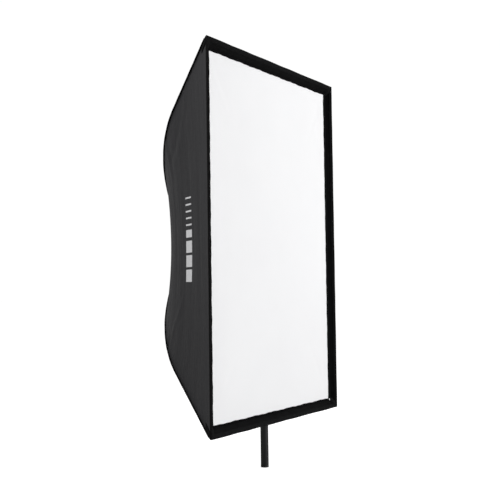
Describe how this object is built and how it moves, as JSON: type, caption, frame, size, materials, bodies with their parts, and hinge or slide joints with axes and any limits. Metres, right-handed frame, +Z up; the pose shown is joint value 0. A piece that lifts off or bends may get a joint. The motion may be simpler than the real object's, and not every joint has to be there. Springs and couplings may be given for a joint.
{
  "type": "rectangular umbrella softbox",
  "caption": "Rectangular umbrella-frame softbox with a recessed white diffuser, on a tilting stand bracket.",
  "frame": {"origin": "centre of the stand tube's lower end", "axes": "+Z up along the stand tube, -Y the way the lit face looks, +X to the right of a viewer who stands in front and looks at the lit face"},
  "size_m": [0.6042, 0.3015, 1.0181],
  "materials": {
    "tube_black": "semi-gloss black anodised tube",
    "bright_steel": "zinc-plated steel",
    "bracket_black": "satin black powder coat on die-cast metal",
    "knob_black": "moulded black plastic",
    "hub_black": "glass-filled nylon, satin",
    "button_red": "red button",
    "rib_grey": "spring rod",
    "shell_cloth": "charcoal coated woven nylon with a soft sheen",
    "lining_silver": "silver coated lining",
    "piping": "black binding tape",
    "diffuser_cloth": "white translucent diffusion cloth",
    "hook_band": "black hook-and-loop border",
    "zip_black": "zip tape and coil",
    "slider_metal": "gunmetal slider"
  },
  "bodies": {
    "stand": {"stand_tube": "tube_black", "spigot": "bright_steel"},
    "swivel": {"bracket_base": "bracket_black", "tilt_bolt": "bright_steel"},
    "tilt_head": {"bracket_head": "bracket_black", "flash_shoe": "bracket_black"},
    "socket_knob": {"socket_knob": "knob_black"},
    "shaft_knob": {"shaft_knob": "knob_black"},
    "tilt_lever": {"tilt_lever": "knob_black"},
    "shaft": {"shaft": "bright_steel", "shaft_cap": "hub_black", "crown": "hub_black", "crown_pins": "bright_steel", "crown_nut": "hub_black", "crown_patch": "shell_cloth", "front_diffuser": "diffuser_cloth", "front_band": "hook_band"},
    "runner": {"runner": "hub_black", "runner_pins": "bright_steel", "button_leaf": "bright_steel"},
    "runner_button": {"runner_button": "button_red"},
    "rib_top_right": {"rib_top_right": "rib_grey", "clip_top_right": "hub_black", "tip_top_right": "hub_black", "seam_top_right": "piping"},
    "stretcher_top_right": {"stretcher_top_right": "rib_grey"},
    "top_cloth_right": {"top_panel_right": "shell_cloth", "top_lining_right": "lining_silver"},
    "right_cloth_upper": {"right_panel_upper": "shell_cloth", "right_lining_upper": "lining_silver"},
    "rib_top_left": {"rib_top_left": "rib_grey", "clip_top_left": "hub_black", "tip_top_left": "hub_black", "seam_top_left": "piping"},
    "stretcher_top_left": {"stretcher_top_left": "rib_grey"},
    "top_cloth_left": {"top_panel_left": "shell_cloth", "top_lining_left": "lining_silver"},
    "left_cloth_upper": {"left_panel_upper": "shell_cloth", "left_lining_upper": "lining_silver"},
    "rib_bottom_right": {"rib_bottom_right": "rib_grey", "clip_bottom_right": "hub_black", "tip_bottom_right": "hub_black", "seam_bottom_right": "piping"},
    "stretcher_bottom_right": {"stretcher_bottom_right": "rib_grey"},
    "bottom_cloth_right": {"bottom_panel_right": "shell_cloth", "bottom_lining_right": "lining_silver", "zip_right": "zip_black"},
    "right_cloth_lower": {"right_panel_lower": "shell_cloth", "right_lining_lower": "lining_silver"},
    "rib_bottom_left": {"rib_bottom_left": "rib_grey", "clip_bottom_left": "hub_black", "tip_bottom_left": "hub_black", "seam_bottom_left": "piping"},
    "stretcher_bottom_left": {"stretcher_bottom_left": "rib_grey"},
    "bottom_cloth_left": {"bottom_panel_left": "shell_cloth", "bottom_lining_left": "lining_silver", "zip_left": "zip_black"},
    "left_cloth_lower": {"left_panel_lower": "shell_cloth", "left_lining_lower": "lining_silver"},
    "zip_slider": {"zip_slider": "slider_metal"}
  },
  "joints": [
    {"name": "swivel_turn", "type": "hinge", "parent": "stand", "child": "swivel", "pos_m": [0, 0, 0.456], "axis": [0, 0, 1], "continuous": true},
    {"name": "tilt", "type": "hinge", "parent": "swivel", "child": "tilt_head", "pos_m": [0, 0, 0.52], "axis": [-1, 0, 0], "range_deg": [-2, 15]},
    {"name": "lever_turn", "type": "hinge", "parent": "swivel", "child": "tilt_lever", "pos_m": [0.02, 0, 0.52], "axis": [1, 0, 0], "range_deg": [0, 95]},
    {"name": "socket_knob_turn", "type": "hinge", "parent": "swivel", "child": "socket_knob", "pos_m": [-0.025, 0, 0.476], "axis": [-1, 0, 0], "continuous": true},
    {"name": "shaft_knob_turn", "type": "hinge", "parent": "tilt_head", "child": "shaft_knob", "pos_m": [0.025, 0, 0.566], "axis": [1, 0, 0], "continuous": true},
    {"name": "shaft_slide", "type": "slide", "parent": "tilt_head", "child": "shaft", "axis": [0, -1, 0], "range_m": [0, 0.02]},
    {"name": "fold", "type": "hinge", "parent": "shaft", "child": "rib_top_right", "pos_m": [0.00777, 0.225, 0.57765], "axis": [0.8321, 0, -0.5547], "range_deg": [0, 50.3], "deforming": ["top_panel_right", "top_lining_right", "right_panel_upper", "right_lining_upper", "top_panel_left", "top_lining_left", "left_panel_upper", "left_lining_upper", "bottom_panel_right", "bottom_lining_right", "zip_right", "right_panel_lower", "right_lining_lower", "bottom_panel_left", "bottom_lining_left", "zip_left", "left_panel_lower", "left_lining_lower", "front_diffuser", "front_band"]},
    {"name": "stretcher_top_right_hinge", "type": "hinge", "parent": "runner", "child": "stretcher_top_right", "pos_m": [0.00721, 0.17798, 0.57682], "axis": [-0.8321, 0, 0.5547], "range_deg": [0, 29.95]},
    {"name": "top_cloth_right_flap", "type": "hinge", "parent": "rib_top_right", "child": "top_cloth_right", "pos_m": [0.00777, 0.225, 0.57765], "axis": [-0.491, 0.4654, -0.7365], "range_deg": [0, 61]},
    {"name": "right_cloth_upper_flap", "type": "hinge", "parent": "rib_top_right", "child": "right_cloth_upper", "pos_m": [0.00777, 0.225, 0.57765], "axis": [0.491, -0.4654, 0.7365], "range_deg": [0, 58.25]},
    {"name": "rib_top_left_hinge", "type": "hinge", "parent": "shaft", "child": "rib_top_left", "pos_m": [-0.00777, 0.225, 0.57765], "axis": [0.8321, 0, 0.5547], "range_deg": [0, 50.3]},
    {"name": "stretcher_top_left_hinge", "type": "hinge", "parent": "runner", "child": "stretcher_top_left", "pos_m": [-0.00721, 0.17798, 0.57682], "axis": [-0.8321, 0, -0.5547], "range_deg": [0, 29.95]},
    {"name": "top_cloth_left_flap", "type": "hinge", "parent": "rib_top_left", "child": "top_cloth_left", "pos_m": [-0.00777, 0.225, 0.57765], "axis": [-0.491, -0.4654, 0.7365], "range_deg": [0, 60.95]},
    {"name": "left_cloth_upper_flap", "type": "hinge", "parent": "rib_top_left", "child": "left_cloth_upper", "pos_m": [-0.00777, 0.225, 0.57765], "axis": [0.491, 0.4654, -0.7365], "range_deg": [0, 58.3]},
    {"name": "rib_bottom_right_hinge", "type": "hinge", "parent": "shaft", "child": "rib_bottom_right", "pos_m": [0.00777, 0.225, 0.55435], "axis": [-0.8321, 0, -0.5547], "range_deg": [0, 50.3]},
    {"name": "stretcher_bottom_right_hinge", "type": "hinge", "parent": "runner", "child": "stretcher_bottom_right", "pos_m": [0.00721, 0.17798, 0.55518], "axis": [0.8321, 0, 0.5547], "range_deg": [0, 29.95]},
    {"name": "bottom_cloth_right_flap", "type": "hinge", "parent": "rib_bottom_right", "child": "bottom_cloth_right", "pos_m": [0.00777, 0.225, 0.55435], "axis": [0.491, -0.4654, -0.7365], "range_deg": [0, 60.95]},
    {"name": "right_cloth_lower_flap", "type": "hinge", "parent": "rib_bottom_right", "child": "right_cloth_lower", "pos_m": [0.00777, 0.225, 0.55435], "axis": [-0.491, 0.4654, 0.7365], "range_deg": [0, 58.3]},
    {"name": "rib_bottom_left_hinge", "type": "hinge", "parent": "shaft", "child": "rib_bottom_left", "pos_m": [-0.00777, 0.225, 0.55435], "axis": [-0.8321, 0, 0.5547], "range_deg": [0, 50.3]},
    {"name": "stretcher_bottom_left_hinge", "type": "hinge", "parent": "runner", "child": "stretcher_bottom_left", "pos_m": [-0.00721, 0.17798, 0.55518], "axis": [0.8321, 0, -0.5547], "range_deg": [0, 29.95]},
    {"name": "bottom_cloth_left_flap", "type": "hinge", "parent": "rib_bottom_left", "child": "bottom_cloth_left", "pos_m": [-0.00777, 0.225, 0.55435], "axis": [0.491, 0.4654, 0.7365], "range_deg": [0, 61]},
    {"name": "left_cloth_lower_flap", "type": "hinge", "parent": "rib_bottom_left", "child": "left_cloth_lower", "pos_m": [-0.00777, 0.225, 0.55435], "axis": [-0.491, -0.4654, -0.7365], "range_deg": [0, 58.25]},
    {"name": "runner_slide", "type": "slide", "parent": "shaft", "child": "runner", "axis": [0, -1, 0], "range_m": [0, 0.08182]},
    {"name": "button_press", "type": "slide", "parent": "runner", "child": "runner_button", "axis": [0, 0, -1], "range_m": [0, 0.0012], "stiffness_N_per_m": 1200, "springref_m": -0.0006, "deforming": ["button_leaf"]},
    {"name": "zip_slide", "type": "slide", "parent": "bottom_cloth_right", "child": "zip_slider", "axis": [0, 0.4619, 0.8869], "range_m": [0, 0.05]}
  ],
  "couplings": [
    {"joint": "stretcher_top_right_hinge", "follows": "fold", "ratio": 0.59447},
    {"joint": "top_cloth_right_flap", "follows": "fold", "ratio": 1.2117},
    {"joint": "right_cloth_upper_flap", "follows": "fold", "ratio": 1.1571},
    {"joint": "rib_top_left_hinge", "follows": "fold", "ratio": 1},
    {"joint": "stretcher_top_left_hinge", "follows": "fold", "ratio": 0.59447},
    {"joint": "top_cloth_left_flap", "follows": "fold", "ratio": 1.2107},
    {"joint": "left_cloth_upper_flap", "follows": "fold", "ratio": 1.1581},
    {"joint": "rib_bottom_right_hinge", "follows": "fold", "ratio": 1},
    {"joint": "stretcher_bottom_right_hinge", "follows": "fold", "ratio": 0.59447},
    {"joint": "bottom_cloth_right_flap", "follows": "fold", "ratio": 1.2107},
    {"joint": "right_cloth_lower_flap", "follows": "fold", "ratio": 1.1581},
    {"joint": "rib_bottom_left_hinge", "follows": "fold", "ratio": 1},
    {"joint": "stretcher_bottom_left_hinge", "follows": "fold", "ratio": 0.59447},
    {"joint": "bottom_cloth_left_flap", "follows": "fold", "ratio": 1.2117},
    {"joint": "left_cloth_lower_flap", "follows": "fold", "ratio": 1.1571},
    {"joint": "runner_slide", "follows": "fold", "m_per_rad": 0.092976}
  ]
}
